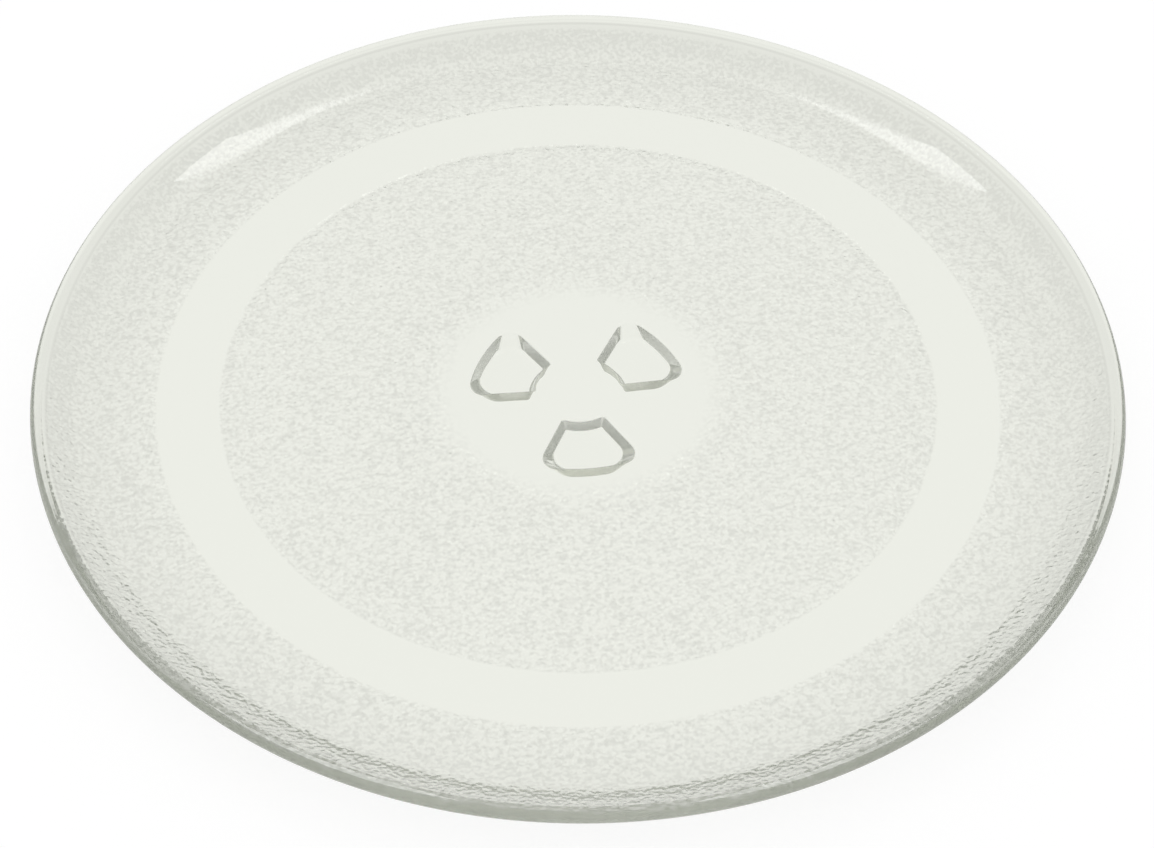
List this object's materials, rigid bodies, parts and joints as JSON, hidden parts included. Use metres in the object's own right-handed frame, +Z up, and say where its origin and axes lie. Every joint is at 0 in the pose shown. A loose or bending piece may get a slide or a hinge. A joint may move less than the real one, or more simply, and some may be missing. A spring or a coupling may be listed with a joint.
{
  "type": "microwave turntable plate",
  "caption": "Round clear pressed-glass plate for a microwave oven, with a low turned-up rim, a smooth roller track and drive lugs under its middle.",
  "frame": {"origin": "on the plate's axis, in the plane of the three lug tips that it stands on", "axes": "+Z up along the axis it turns about, out of the dish; -Y through the middle of one lug"},
  "size_m": [0.245, 0.245, 0.0124],
  "materials": {
    "glass": "clear, with a fine pressed pebble pattern under the floor and a smooth roller track"
  },
  "bodies": {
    "root": {"turntable_plate": "glass"}
  },
  "joints": []
}
